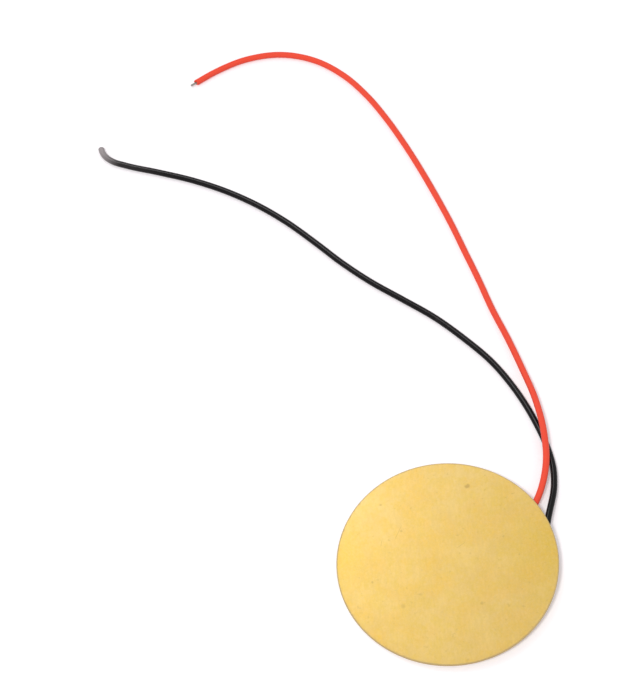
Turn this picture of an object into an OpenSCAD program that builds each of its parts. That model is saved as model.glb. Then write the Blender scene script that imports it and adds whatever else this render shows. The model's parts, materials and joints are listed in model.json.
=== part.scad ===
// Piezo disc with two leads, lying brass side up on a flat surface at z = 0.
// The disc rests on its rim and on the signal solder, so it lies slightly tilted.
// All sizes are in millimetres.

/* [Brass plate] */
// Thickness of the brass plate
plate_t = 0.3; // [0.2:0.05:0.6]
// Bare brass rim round the ceramic
rim_w = 3.5; // [3:0.25:5]
// Radius of the rolled edges of the stamping
edge_r = 0.06; // [0.02:0.01:0.08]

/* [Ceramic] */
// Diameter of the ceramic
ceramic_d = 20; // [14:0.5:24]
// Thickness of the ceramic
ceramic_t = 0.2; // [0.12:0.02:0.4]
// Bare ceramic margin round the outer electrode
electrode_margin = 0.9; // [0.4:0.1:1.5]
// Thickness of each fired silver electrode
electrode_t = 0.015; // [0.01:0.005:0.03]

/* [Bond] */
// Thickness of the adhesive film
bond_t = 0.02; // [0.01:0.005:0.05]
// Width of the adhesive fillet squeezed out round the ceramic
fillet_w = 0.15; // [0.05:0.05:0.3]
// Height of that fillet up the ceramic's side
fillet_h = 0.08; // [0.03:0.01:0.1]

/* [Solder joints] */
// Radius of the signal solder on the outer electrode
signal_base_r = 1.15; // [0.9:0.05:1.4]
// Height of the signal solder
signal_h = 1.05; // [0.95:0.05:1.3]
// Radius of the ground solder on the brass rim
ground_base_r = 1.1; // [0.9:0.05:1.3]
// Height of the ground solder
ground_h = 0.9; // [0.8:0.05:1.05]
// Width of the thin wetted skirt round each solder
skirt_w = 0.15; // [0.05:0.05:0.2]
// Thickness of that skirt at the solder
skirt_t = 0.1; // [0.05:0.01:0.15]
// Distance from the electrode's edge in to the signal solder's centre
signal_inset = 1.9; // [1.6:0.1:3]

/* [Leads] */
// Diameter over the insulation
lead_od = 0.84; // [0.6:0.02:0.9]
// Diameter of one strand of the seven-strand conductor
strand_d = 0.1; // [0.08:0.01:0.12]
// Gap between the insulation and the face that its conductor is soldered to
lead_gap = 0.06; // [0.03:0.01:0.12]
// Bare conductor between the solder's skirt and the insulation
bare_l = 0.4; // [0.2:0.1:0.8]
// Bare conductor that stands out of the red lead's free end
tip_l = 0.75; // [0.3:0.05:1]

/* [Hidden] */
$fn = 96;

plate_r = ceramic_d / 2 + rim_w;
ceramic_r = ceramic_d / 2;
electrode_r = ceramic_r - electrode_margin;

// Faces of the stack, measured down from the plate's underside
inner_electrode_z = -bond_t;
ceramic_z = inner_electrode_z - electrode_t;
outer_electrode_z = ceramic_z - ceramic_t;
signal_face_z = outer_electrode_z - electrode_t;
ground_face_z = 0;

// Places of the two joints on the disc, and the directions in which their leads leave
signal_r = electrode_r - signal_inset;
signal_angle = 22;
signal_heading = 42;
ground_r = (plate_r + ceramic_r) / 2;
ground_angle = 4;
ground_heading = 80;

// The conductor runs parallel to the disc, at this depth under the face it is soldered to
conductor_drop = lead_od / 2 + lead_gap;
// Tin joins the strands, so they lie a little closer than a diameter
strand_pitch = 0.96 * strand_d;
// The strands end this share of the way from the solder's centre to its far side
embed_share = 0.5;
// Solder drawn along the strands, as a cone round them
neck_root_r = 0.9 * conductor_drop;
neck_tip_r = 1.25 * strand_d;
neck_share = 0.6;

// The disc tips up towards this direction, until the signal solder touches the surface
rise_angle = 16;

// Radius of a spherical cap with base radius a and height h
function cap_radius(a, h) = (a * a + h * h) / (2 * h);

// Rest pose: the disc lies on the spherical signal solder and on one of its low edges.
// Each edge is given as its radius, its height from the plate's underside and its rounding.
rest_edges = [
    [plate_r - edge_r, edge_r, edge_r],
    [ceramic_r, outer_electrode_z, 0],
    [electrode_r, signal_face_z, 0],
];
signal_cap_r = cap_radius(signal_base_r, signal_h);
signal_cap_z = signal_face_z - signal_h + signal_cap_r;
signal_reach = signal_r * cos(signal_angle - rise_angle);
// Tilt at which the solder and this edge both touch z = 0
function tilt_on(edge) =
    let (
        reach = edge[0] + signal_reach,
        drop = signal_cap_z - edge[1]
    ) asin((signal_cap_r - edge[2]) / norm([reach, drop])) - atan2(drop, reach);
tilt = min([for (edge = rest_edges) tilt_on(edge)]);
// Height of the plate's middle, at which the lowest edge touches z = 0
mid_z = max([for (edge = rest_edges)
    edge[2] + edge[0] * sin(tilt) - (edge[1] - plate_t / 2) * cos(tilt)]);

// The rest pose of a direction, and of a point given from the centre of the plate's underside
function rest_turn(p) =
    let (
        along = p.x * cos(rise_angle) + p.y * sin(rise_angle),
        across = -p.x * sin(rise_angle) + p.y * cos(rise_angle),
        lifted = along * cos(tilt) - p.z * sin(tilt)
    ) [
        lifted * cos(rise_angle) - across * sin(rise_angle),
        lifted * sin(rise_angle) + across * cos(rise_angle),
        along * sin(tilt) + p.z * cos(tilt)
    ];
function rest_point(p) = rest_turn(p - [0, 0, plate_t / 2]) + [0, 0, mid_z];

// Routes of the leads: x, y and the clear height under the insulation
red_route = [
    [9.9, 5.7, 0.4], [11.4, 8.0, 0.6], [12.95, 12.8, 0.9], [13.1, 17.8, 0.95], [12.4, 22.7, 0.8],
    [11.1, 27.5, 0.45], [9.6, 32.3, 0.2], [7.9, 37.0, 0.05], [6.4, 41.8, 0], [4.8, 46.5, 0],
    [3.2, 51.2, 0], [1.4, 55.9, 0], [-0.5, 60.5, 0], [-2.6, 65.1, 0], [-4.8, 69.4, 0],
    [-7.5, 73.8, 0], [-10.7, 77.6, 0], [-14.8, 80.5, 0], [-19.5, 81.7, 0], [-24.4, 81.0, 0],
    [-28.9, 78.8, 0], [-31.8, 76.75, 0],
];
black_route = [
    [12.7, 5.6, 0.65], [13.85, 10.4, 0.35], [13.95, 12.9, 0.2], [13.6, 15.4, 0.05], [12.1, 20.2, 0],
    [10.0, 24.7, 0], [7.3, 28.9, 0], [3.9, 32.6, 0], [0.2, 36.0, 0], [-3.8, 38.9, 0],
    [-7.9, 41.8, 0], [-11.7, 45.0, 0], [-15.3, 48.5, 0], [-19.0, 51.9, 0], [-23.0, 54.9, 0],
    [-27.3, 57.4, 0], [-31.9, 59.4, 0], [-36.6, 60.9, 0], [-41.4, 62.3, 0], [-43.1, 63.0, 0],
    [-44.3, 64.1, 0], [-44.7, 65.0, 0], [-44.8, 65.45, 0],
];
lead_sides = 8;
ring_pitch = 2.5;
// Straight run of insulation at the joint
lead_straight = 0.8;

// Centre of the insulation's face at a joint, and the direction in which the lead leaves
function lead_start(r, angle, face_z, base_r, heading) =
    let (reach = base_r + skirt_w + bare_l)
    rest_point([
        r * cos(angle) + reach * cos(heading),
        r * sin(angle) + reach * sin(heading),
        face_z - conductor_drop
    ]);
function lead_way(heading) = rest_turn([cos(heading), sin(heading), 0]);

// A lead's own points: its straight run from the joint, and then its route
function lead_points(start, way, route) = concat(
    [start, start + lead_straight * way],
    [for (p = route) [p.x, p.y, p.z + lead_od / 2]]
);
red_points = lead_points(
    lead_start(signal_r, signal_angle, signal_face_z, signal_base_r, signal_heading),
    lead_way(signal_heading), red_route
);
black_points = lead_points(
    lead_start(ground_r, ground_angle, ground_face_z, ground_base_r, ground_heading),
    lead_way(ground_heading), black_route
);

function unit(v) = v / norm(v);

// Direction of the smooth curve at point i, from the two chords that meet there
function tangent(pts, i) =
    let (
        last = len(pts) - 1,
        before = pts[max(i, 1)] - pts[max(i, 1) - 1],
        after = pts[min(i, last - 1) + 1] - pts[min(i, last - 1)]
    ) unit(before * norm(after) / norm(before) + after * norm(before) / norm(after));

// Place and direction on the curve between points i and i + 1, at t from 0 to 1.
// The insulation never dips under the surface it lies on.
function curve_place(pts, i, t) =
    let (
        chord = norm(pts[i + 1] - pts[i]),
        place = (2 * t ^ 3 - 3 * t ^ 2 + 1) * pts[i] + (t ^ 3 - 2 * t ^ 2 + t) * chord * tangent(pts, i)
            + (3 * t ^ 2 - 2 * t ^ 3) * pts[i + 1] + (t ^ 3 - t ^ 2) * chord * tangent(pts, i + 1)
    ) [place.x, place.y, max(place.z, lead_od / 2)];
function curve_way(pts, i, t) =
    let (chord = norm(pts[i + 1] - pts[i]))
    unit((6 * t ^ 2 - 6 * t) * (pts[i] - pts[i + 1])
    + (3 * t ^ 2 - 4 * t + 1) * chord * tangent(pts, i) + (3 * t ^ 2 - 2 * t) * chord * tangent(pts, i + 1));

function ring(centre, way, r) =
    let (
        side = unit(cross([0, 0, 1], way)),
        up = cross(way, side)
    ) [for (k = [0:lead_sides - 1])
        centre + r * (cos(360 * k / lead_sides) * side + sin(360 * k / lead_sides) * up)];

function lead_rings(pts) = concat(
    [for (i = [0:len(pts) - 2])
        let (steps = max(1, round(norm(pts[i + 1] - pts[i]) / ring_pitch)))
        for (k = [0:steps - 1])
            ring(curve_place(pts, i, k / steps), curve_way(pts, i, k / steps), lead_od / 2)],
    [ring(pts[len(pts) - 1], tangent(pts, len(pts) - 1), lead_od / 2)]
);

module sweep(rings) {
    count = len(rings);
    sides = [for (i = [0:count - 2], k = [0:lead_sides - 1])
        let (next = (k + 1) % lead_sides)
        [i * lead_sides + k, i * lead_sides + next, (i + 1) * lead_sides + next, (i + 1) * lead_sides + k]];
    first_cap = [for (k = [lead_sides - 1:-1:0]) k];
    last_cap = [for (k = [0:lead_sides - 1]) (count - 1) * lead_sides + k];
    polyhedron([for (r = rings) each r], concat(sides, [first_cap, last_cap]), convexity = 10);
}

// Puts what is drawn on the disc, from the centre of the plate's underside, into the rest pose
module at_rest() {
    translate([0, 0, mid_z])
        rotate([0, 0, rise_angle])
            rotate([0, -tilt, 0])
                rotate([0, 0, -rise_angle])
                    translate([0, 0, -plate_t / 2])
                        children();
}

// Puts what is drawn round a joint's centre, with its lead along +X, on the disc
module at_joint(r, angle, face_z, heading) {
    at_rest()
        translate([r * cos(angle), r * sin(angle), face_z])
            rotate([0, 0, heading])
                children();
}

// A flat round layer of the stack, which hangs from z
module layer(r, z, t) {
    at_rest()
        translate([0, 0, z - t])
            cylinder(r = r, h = t);
}

// Seven tinned strands along +X
module strands(l) {
    rotate([0, 90, 0])
        union() {
            cylinder(d = strand_d, h = l);
            for (k = [0:5])
                rotate([0, 0, 60 * k])
                    translate([strand_pitch, 0, 0])
                        cylinder(d = strand_d, h = l);
        }
}

// A joint's conductor, from its end inside the solder to the insulation's face
module joint_conductor(base_r) {
    embedded = embed_share * base_r;
    translate([-embedded, 0, -conductor_drop])
        strands(embedded + base_r + skirt_w + bare_l);
}

// A solder joint: a cap on a thin skirt, with a neck drawn along the strands
module solder_joint(base_r, h) {
    cap_r = cap_radius(base_r, h);
    difference() {
        union() {
            intersection() {
                translate([0, 0, cap_r - h])
                    sphere(r = cap_r);
                translate([0, 0, -h])
                    cylinder(r = base_r, h = h);
            }
            translate([0, 0, -skirt_t])
                cylinder(r1 = base_r - skirt_w, r2 = base_r + skirt_w, h = skirt_t);
            translate([0, 0, -conductor_drop])
                rotate([0, 90, 0])
                    cylinder(r1 = neck_root_r, r2 = neck_tip_r, h = base_r + skirt_w + neck_share * bare_l);
        }
        joint_conductor(base_r);
    }
}

module brass_plate() {
    roll = [0:15:90];
    profile = concat(
        [[0, 0]],
        [for (a = roll) [plate_r - edge_r + edge_r * sin(a), edge_r - edge_r * cos(a)]],
        [for (a = roll) [plate_r - edge_r + edge_r * cos(a), plate_t - edge_r + edge_r * sin(a)]],
        [[0, plate_t]]
    );
    color("#e2b34f")
        at_rest()
            rotate_extrude()
                polygon(profile);
}

module bond_layer() {
    foot = bond_t + fillet_h;
    color("#c9a86a")
        at_rest()
            rotate_extrude()
                polygon([
                    [0, 0], [0, -bond_t], [ceramic_r, -bond_t], [ceramic_r, -foot],
                    [ceramic_r + fillet_w / 3, -foot / 2], [ceramic_r + fillet_w, 0]
                ]);
}

module inner_electrode() {
    color("#c8c8c4")
        layer(ceramic_r, inner_electrode_z, electrode_t);
}

module ceramic_disc() {
    color("#d9cfae")
        layer(ceramic_r, ceramic_z, ceramic_t);
}

module outer_electrode() {
    color("#dcdcd8")
        layer(electrode_r, outer_electrode_z, electrode_t);
}

module signal_solder() {
    color("#a9adb0")
        at_joint(signal_r, signal_angle, signal_face_z, signal_heading)
            solder_joint(signal_base_r, signal_h);
}

module ground_solder() {
    color("#a9adb0")
        at_joint(ground_r, ground_angle, ground_face_z, ground_heading)
            solder_joint(ground_base_r, ground_h);
}

module signal_conductor() {
    color("#bfb9ae")
        at_joint(signal_r, signal_angle, signal_face_z, signal_heading)
            joint_conductor(signal_base_r);
}

module ground_conductor() {
    color("#bfb9ae")
        at_joint(ground_r, ground_angle, ground_face_z, ground_heading)
            joint_conductor(ground_base_r);
}

module red_lead() {
    color("#f24a35")
        sweep(lead_rings(red_points));
}

module black_lead() {
    color("#232124")
        sweep(lead_rings(black_points));
}

module red_conductor_tip() {
    last = len(red_points) - 1;
    way = tangent(red_points, last);
    color("#bfb9ae")
        translate(red_points[last])
            rotate([0, 0, atan2(way.y, way.x)])
                strands(tip_l);
}

brass_plate();
bond_layer();
inner_electrode();
ceramic_disc();
outer_electrode();
signal_solder();
ground_solder();
signal_conductor();
ground_conductor();
red_lead();
black_lead();
red_conductor_tip();
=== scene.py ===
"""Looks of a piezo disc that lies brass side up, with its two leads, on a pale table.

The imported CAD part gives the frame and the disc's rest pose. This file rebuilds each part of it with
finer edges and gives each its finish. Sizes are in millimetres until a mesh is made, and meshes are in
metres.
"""

import json
import logging
import math
from dataclasses import dataclass, field
from enum import Enum

import bmesh
import bpy
import numpy as np
from mathutils import Matrix, Vector


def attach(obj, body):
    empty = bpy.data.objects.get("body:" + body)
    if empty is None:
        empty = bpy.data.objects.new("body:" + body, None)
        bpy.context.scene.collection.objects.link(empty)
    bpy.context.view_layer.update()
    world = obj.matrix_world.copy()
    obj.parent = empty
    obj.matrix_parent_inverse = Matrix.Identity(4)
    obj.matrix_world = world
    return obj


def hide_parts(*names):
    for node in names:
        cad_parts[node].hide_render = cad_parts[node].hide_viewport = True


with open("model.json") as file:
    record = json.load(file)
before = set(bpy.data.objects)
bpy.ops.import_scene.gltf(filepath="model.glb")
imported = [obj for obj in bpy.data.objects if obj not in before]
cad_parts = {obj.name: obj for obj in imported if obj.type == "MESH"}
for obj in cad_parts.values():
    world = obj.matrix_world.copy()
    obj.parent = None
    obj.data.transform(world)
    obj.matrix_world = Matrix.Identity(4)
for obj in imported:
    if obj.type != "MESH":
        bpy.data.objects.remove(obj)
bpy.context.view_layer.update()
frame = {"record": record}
MM = 0.001
LOG = logging.getLogger("piezo_disc")

Piece = bpy.types.Object
Finish = bpy.types.Material
Socket = bpy.types.NodeSocket
Triple = tuple[float, float, float]


# Shapes


def unit(v: np.ndarray) -> np.ndarray:
    """The same direction, one long."""
    return v / np.linalg.norm(v)


def ease(x: np.ndarray) -> np.ndarray:
    """A smooth step from 0 to 1 as x goes from 0 to 1."""
    t = np.clip(x, 0.0, 1.0)
    return t * t * (3.0 - 2.0 * t)


def wobble(angle: np.ndarray, waves: tuple[tuple[int, float, float], ...]) -> np.ndarray:
    """A closed uneven line round a circle.

    Args:
        angle: Angles round the circle, in radians.
        waves: For each wave, how often it goes round, how high it is and its phase.

    Returns:
        The height of the line at each angle, in the unit of the waves' heights.
    """
    return sum(height * np.sin(count * angle + phase) for count, height, phase in waves)


def ring_piece(
    name: str, rings: np.ndarray, first_pole: np.ndarray, last_pole: np.ndarray, sharp: float = 40.0
) -> Piece:
    """Makes a closed skin through rings of points, with a pole at each end.

    Args:
        name: Name of the piece.
        rings: Points in millimetres, by ring, place on the ring and axis.
        first_pole: Point that closes the first ring.
        last_pole: Point that closes the last ring.
        sharp: Edges that turn by more than this angle in degrees are drawn sharp.

    Returns:
        The piece, with its faces outwards, in metres at the origin.
    """
    count, around = rings.shape[:2]
    points = np.concatenate([rings.reshape(-1, 3), [first_pole], [last_pole]]) * MM
    first, last = count * around, count * around + 1
    faces = []
    for k in range(around):
        after = (k + 1) % around
        faces.append((first, after, k))
        faces.append((last, (count - 1) * around + k, (count - 1) * around + after))
        for i in range(count - 1):
            low, high = i * around, (i + 1) * around
            faces.append((low + k, low + after, high + after, high + k))
    mesh = bpy.data.meshes.new(name)
    mesh.from_pydata(points.tolist(), [], faces)
    return finished(name, mesh, sharp)


def finished(name: str, mesh: bpy.types.Mesh, sharp: float = 40.0) -> Piece:
    """Turns a mesh's faces outwards, smooths it and puts it in the scene.

    Args:
        name: Name of the new object.
        mesh: Closed mesh in metres.
        sharp: Edges that turn by more than this angle in degrees are drawn sharp.

    Returns:
        The new object, at the origin.
    """
    work = bmesh.new()
    work.from_mesh(mesh)
    bmesh.ops.recalc_face_normals(work, faces=work.faces)
    work.to_mesh(mesh)
    work.free()
    mesh.shade_smooth()
    mesh.set_sharp_from_angle(angle=math.radians(sharp))
    piece = bpy.data.objects.new(name, mesh)
    bpy.context.scene.collection.objects.link(piece)
    return piece


def hand_over(piece: Piece, finish: Finish, slot: str, *nodes: str) -> None:
    """Dresses a piece and gives it its place in the frame.

    Args:
        piece: The finished piece.
        finish: Its material.
        slot: The record's material slot; not used.
        *nodes: CAD nodes that the piece stands for.
    """
    piece.data.materials.clear()
    piece.data.materials.append(finish)
    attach(piece, "root")
    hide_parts(*nodes)
    LOG.info("%s: %d faces, for %s", piece.name, len(piece.data.polygons), ", ".join(nodes) or "no node")


# Finishes


@dataclass(frozen=True)
class Tone:
    """A colour as it is seen, with parts from 0 to 255."""

    red: int
    green: int
    blue: int

    def rgba(self) -> tuple[float, float, float, float]:
        """Turns the colour into what shaders take.

        Returns:
            Its linear parts from 0 to 1, and 1 for its cover.
        """
        parts = [c / 255.0 for c in (self.red, self.green, self.blue)]
        linear = [c / 12.92 if c <= 0.04045 else ((c + 0.055) / 1.055) ** 2.4 for c in parts]
        return (*linear, 1.0)


class Graph:
    """A node tree that is filled one node at a time."""

    def __init__(self, tree: bpy.types.NodeTree) -> None:
        """Takes up a tree's nodes and links."""
        self.nodes = tree.nodes
        self.links = tree.links

    def feed(self, socket: Socket, value: object) -> None:
        """Fills an input.

        Args:
            socket: The input.
            value: An output that it is linked to, a list of such outputs, a tone or a plain value.
        """
        if isinstance(value, list):
            for output in value:
                self.links.new(output, socket)
        elif isinstance(value, Socket):
            self.links.new(value, socket)
        elif isinstance(value, Tone):
            socket.default_value = value.rgba()
        else:
            socket.default_value = value

    def node(self, kind: str, fed: dict | None = None, **settings: object) -> bpy.types.bpy_prop_collection:
        """Adds a node.

        Args:
            kind: Its type.
            fed: What goes into its inputs, by their names or numbers.
            **settings: Its own settings.

        Returns:
            Its outputs.
        """
        made = self.nodes.new(kind)
        for name, value in settings.items():
            setattr(made, name, value)
        for socket, value in (fed or {}).items():
            self.feed(made.inputs[socket], value)
        return made.outputs

    def math(self, operation: str, first: object, second: object = 0.0) -> Socket:
        """What an operation makes of two numbers."""
        return self.node("ShaderNodeMath", {0: first, 1: second}, operation=operation)[0]

    def looked_at(self) -> Socket:
        """1 for what the camera sees, be it straight, in metal or through glass.

        Returns:
            The share, which is 0 for light that only falls on matt surfaces.
        """
        path = self.node("ShaderNodeLightPath")
        mirrored = self.math("MAXIMUM", path["Is Glossy Ray"], path["Is Transmission Ray"])
        return self.math("MAXIMUM", path["Is Camera Ray"], mirrored)


class Coat(Graph):
    """A material's nodes, with the patterns that its finish is made of."""

    def __init__(self, name: str, **fixed: float) -> None:
        """Starts the material with one shader.

        Args:
            name: Name of the material.
            **fixed: Values of the shader's own sockets, with _ for each space.
        """
        self.material = bpy.data.materials.new(name)
        self.material.use_nodes = True
        super().__init__(self.material.node_tree)
        self.shader = self.nodes["Principled BSDF"]
        for socket, value in fixed.items():
            self.shader.inputs[socket.replace("_", " ")].default_value = value

    def place_mm(self, pose: Matrix = Matrix.Identity(4)) -> Socket:
        """The place on the object in millimetres, measured from a pose given in metres."""
        where = self.node("ShaderNodeTexCoord")["Object"]
        return self.measured(where, pose.to_translation(), pose.to_euler(), MM)

    def run_mm(self) -> Socket:
        """The place on a lead in millimetres, as if it were pulled straight along X."""
        return self.node("ShaderNodeAttribute", attribute_name="run")["Vector"]

    def measured(self, place: Socket, origin: Triple, turn: Triple, size: float = 1.0) -> Socket:
        """The place measured from an origin, along turned axes and in units of this size."""
        fed = {"Location": origin, "Rotation": turn, "Scale": (size, size, size), "Vector": place}
        return self.node("ShaderNodeMapping", fed, vector_type="TEXTURE")[0]

    def stretched(self, place: Socket, scale: Triple) -> Socket:
        """The place with each axis scaled, so that a pattern gets longer where its scale is small."""
        return self.node("ShaderNodeMapping", {"Scale": scale, "Vector": place})[0]

    def noise(
        self, place: Socket, size: float, seed: float, detail: float = 2.0, rough: float = 0.5
    ) -> Socket:
        """Soft cloudy noise from 0 to 1.

        Args:
            place: The place in millimetres.
            size: Size of the clouds in millimetres.
            seed: Which pattern is taken.
            detail: How many finer layers are added.
            rough: How strong the finer layers are.

        Returns:
            The noise's socket.
        """
        fed = {"Vector": place, "W": seed, "Scale": 1.0 / size, "Detail": detail, "Roughness": rough}
        return self.node("ShaderNodeTexNoise", fed, noise_dimensions="4D")[0]

    def cells(self, place: Socket, size: float) -> Socket:
        """The distance to the nearest of scattered points, which lie about this many millimetres apart."""
        return self.node("ShaderNodeTexVoronoi", {"Vector": place, "Scale": 1.0 / size})["Distance"]

    def ranged(
        self, value: object, low: float, high: float, to_low: float = 0.0, to_high: float = 1.0
    ) -> Socket:
        """A smooth step from to_low to to_high as value goes from low to high."""
        fed = dict(enumerate((value, low, high, to_low, to_high)))
        return self.node("ShaderNodeMapRange", fed, interpolation_type="SMOOTHSTEP")[0]

    def parts(self, place: Socket) -> bpy.types.bpy_prop_collection:
        """The X, Y and Z of a place."""
        return self.node("ShaderNodeSeparateXYZ", {0: place})

    def away(self, place: Socket, x: float, y: float) -> Socket:
        """How far a place is from an upright line.

        Args:
            place: The place.
            x: Where the line stands along X.
            y: Where the line stands along Y.

        Returns:
            The distance, in the place's unit.
        """
        squares = []
        for part, middle in zip(self.parts(place), (x, y)):
            gap = self.math("ABSOLUTE", self.math("SUBTRACT", part, middle))
            squares.append(self.math("POWER", gap, 2.0))
        return self.math("SQRT", self.math("ADD", *squares))

    def mixed(self, share: object, under: object, over: object) -> Socket:
        """One colour laid over another by a share from 0 to 1."""
        return self.node("ShaderNodeMix", {0: share, 6: under, 7: over}, data_type="RGBA")[2]

    def laid(
        self, under: object, over: object, pattern: Socket, low: float, high: float, most: float = 1.0
    ) -> Socket:
        """A colour laid over another, not at all where the pattern is low and most where it is high."""
        return self.mixed(self.ranged(pattern, low, high, 0.0, most), under, over)

    def bump(self, height: Socket, depth_mm: float, under: Socket | None = None) -> Socket:
        """Gives the surface a relief.

        Args:
            height: The pattern that gives the height, from 0 to 1.
            depth_mm: How high 1 is, in millimetres.
            under: An earlier relief, on which this one is laid.

        Returns:
            The surface's normal.
        """
        fed = {"Strength": 1.0, "Distance": depth_mm * MM, "Height": height}
        if under is not None:
            fed["Normal"] = under
        return self.node("ShaderNodeBump", fed)[0]

    def done(self, colour: Socket, roughness: Socket, normal: Socket) -> Finish:
        """Joins everything to the shader.

        Args:
            colour: The base colour.
            roughness: The roughness.
            normal: The surface's normal with its relief.

        Returns:
            The finished material.
        """
        for socket, value in (("Base Color", colour), ("Roughness", roughness), ("Normal", normal)):
            self.feed(self.shader.inputs[socket], value)
        return self.material


@dataclass(frozen=True)
class Spot:
    """A small mark on the brass, in millimetres from the disc's middle."""

    x: float
    y: float
    radius: float
    depth: float


@dataclass(frozen=True)
class Scratch:
    """A fine scratch on the brass, by its middle in millimetres, length, width and direction."""

    x: float
    y: float
    length: float
    width: float
    angle: float


@dataclass(frozen=True)
class SatinBrass:
    """Rolled brass sheet with a fine grain, a few stains and a sheared edge.

    Lengths are in millimetres. The stains' and the rim's outlines are ragged by stain_rag and rim_rag. The
    edge is painted darker from rim_shade_in to rim_shade_out within the rim, which is painted shade, and is
    rougher there. The heat of the ground joint shows on the underside, from none at the first distance in
    heat_run to most at the second.
    """

    light: Tone = Tone(217, 186, 113)
    deep: Tone = Tone(212, 180, 107)
    pale: Tone = Tone(216, 189, 127)
    warm: Tone = Tone(219, 175, 84)
    golden: Tone = Tone(211, 177, 76)
    stain: Tone = Tone(178, 150, 90)
    # colour of the painted shade along the rim, standing in for the dark reflection of the rolled edge
    edge: Tone = Tone(182, 160, 116)
    heat: Tone = Tone(170, 112, 82)
    satin: tuple[float, float] = (0.3, 0.38)
    stain_rag: float = 0.08
    rim_rag: float = 0.03
    rim_shade_in: float = 0.22
    rim_shade_out: float = 0.06
    rim_shade_most: float = 0.8
    rim_shade_rough: float = 0.15
    heat_run: tuple[float, float] = (3.2, 1.2)
    heat_most: float = 0.7
    stains: tuple[Spot, ...] = (
        Spot(3.0, 10.1, 0.42, 0.85),
        Spot(-5.4, 4.4, 0.22, 0.5),
        Spot(-7.0, 3.2, 0.2, 0.4),
        Spot(-9.2, -2.3, 0.2, 0.6),
        Spot(-7.8, 8.1, 0.22, 0.55),
        Spot(3.9, -5.7, 0.28, 0.5),
        Spot(7.0, 3.0, 0.18, 0.45),
        Spot(-3.4, -4.2, 0.35, 0.35),
        Spot(-5.6, -5.6, 0.4, 0.35),
    )
    warm_patches: tuple[Spot, ...] = (
        Spot(-2.6, 5.4, 1.3, 0.5),
        Spot(-2.0, 0.3, 1.8, 0.35),
        Spot(-9.0, -9.2, 1.6, 0.6),
        Spot(9.5, -3.0, 2.0, 0.3),
    )
    golden_patches: tuple[Spot, ...] = (
        Spot(13.0, 1.0, 8.5, 0.8),
        Spot(-14.0, 0.6, 6.0, 0.75),
        Spot(6.0, 8.0, 3.5, 0.3),
    )
    pale_patches: tuple[Spot, ...] = (
        Spot(1.0, 11.0, 7.0, 0.4),
        Spot(-8.5, 8.0, 5.5, 0.45),
        Spot(-7.0, 3.0, 3.5, 0.3),
        Spot(6.5, -6.5, 4.5, 0.3),
    )
    scratches: tuple[Scratch, ...] = (
        Scratch(-5.8, 4.2, 2.4, 0.05, 64.0),
        Scratch(-7.9, 2.9, 1.2, 0.05, 78.0),
        Scratch(1.8, 2.1, 1.6, 0.04, 35.0),
    )

    def build(
        self, pose: Matrix, radius: float, thickness: float, joint: tuple[float, float]
    ) -> Finish:
        """Makes the brass.

        Args:
            pose: The disc's pose, from the middle of the plate's underside, in metres.
            radius: Radius of the plate in millimetres.
            thickness: Thickness of the plate in millimetres.
            joint: Where the ground solder sits, in millimetres from the middle.

        Returns:
            The material.
        """
        coat = Coat("satin_brass", Metallic=1.0)
        place = coat.place_mm(pose)
        cloud = coat.noise(place, size=3.2, seed=1.0, detail=3.0)
        grain = coat.noise(place, size=0.16, seed=2.0, detail=3.0, rough=0.65)
        rolled = coat.noise(coat.stretched(place, (1.0, 0.35, 1.0)), size=0.26, seed=3.0)
        pepper = coat.noise(place, size=0.45, seed=4.0)
        bloom = coat.noise(place, size=0.3, seed=5.0, detail=3.0, rough=0.7)
        mottle = coat.noise(place, size=1.1, seed=6.0, rough=0.6)
        tarnish = coat.noise(place, size=2.6, seed=7.0, detail=3.0, rough=0.6)
        colour = coat.laid(self.deep, self.light, cloud, 0.35, 0.65)
        toned = {
            self.warm: self.warm_patches,
            self.golden: self.golden_patches,
            self.pale: self.pale_patches,
        }
        for tone, patches in toned.items():
            for patch in patches:
                off = coat.away(place, patch.x, patch.y)
                colour = coat.laid(colour, tone, off, patch.radius, 0.0, patch.depth)
        colour = coat.laid(colour, self.golden, mottle, 0.38, 0.62, 0.44)
        colour = coat.laid(colour, self.warm, tarnish, 0.4, 0.65, 0.36)
        colour = coat.laid(colour, self.pale, bloom, 0.35, 0.7, 0.34)
        colour = coat.mixed(coat.ranged(grain, 0.3, 0.7, 0.13, 0.0), colour, self.stain)
        colour = coat.laid(colour, self.stain, rolled, 0.3, 0.7, 0.13)
        colour = coat.laid(colour, self.stain, pepper, 0.62, 0.78, 0.4)
        ragged = coat.ranged(pepper, 0.2, 0.8, -self.stain_rag, self.stain_rag)
        for mark in self.stains:
            off = coat.math("ADD", coat.away(place, mark.x, mark.y), ragged)
            colour = coat.laid(colour, self.stain, off, mark.radius, mark.radius * 0.3, mark.depth)
        for line in self.scratches:
            colour = coat.mixed(self.scratch(coat, place, line), colour, self.stain)
        # Painted shade: the brass is painted darker towards its edge, standing in for the dark reflection
        # of the rolled edge. The rim is also made rougher there.
        rim = coat.ranged(pepper, 0.3, 0.7, -self.rim_rag, self.rim_rag)
        rim = coat.math("ADD", coat.away(place, 0.0, 0.0), rim)
        painted_light = coat.ranged(rim, radius - self.rim_shade_in, radius - self.rim_shade_out)
        colour = coat.mixed(coat.math("MULTIPLY", painted_light, self.rim_shade_most), colour, self.edge)
        under = coat.ranged(coat.parts(place)["Z"], thickness * 0.5, 0.0, 0.0, self.heat_most)
        halo = coat.ranged(coat.away(place, *joint), *self.heat_run)
        colour = coat.mixed(coat.math("MULTIPLY", under, halo), colour, self.heat)
        satin = coat.ranged(grain, 0.3, 0.7, *self.satin)
        roughness = coat.math("ADD", satin, coat.math("MULTIPLY", painted_light, self.rim_shade_rough))
        return coat.done(colour, roughness, coat.bump(rolled, 0.002, coat.bump(grain, 0.004)))

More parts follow.
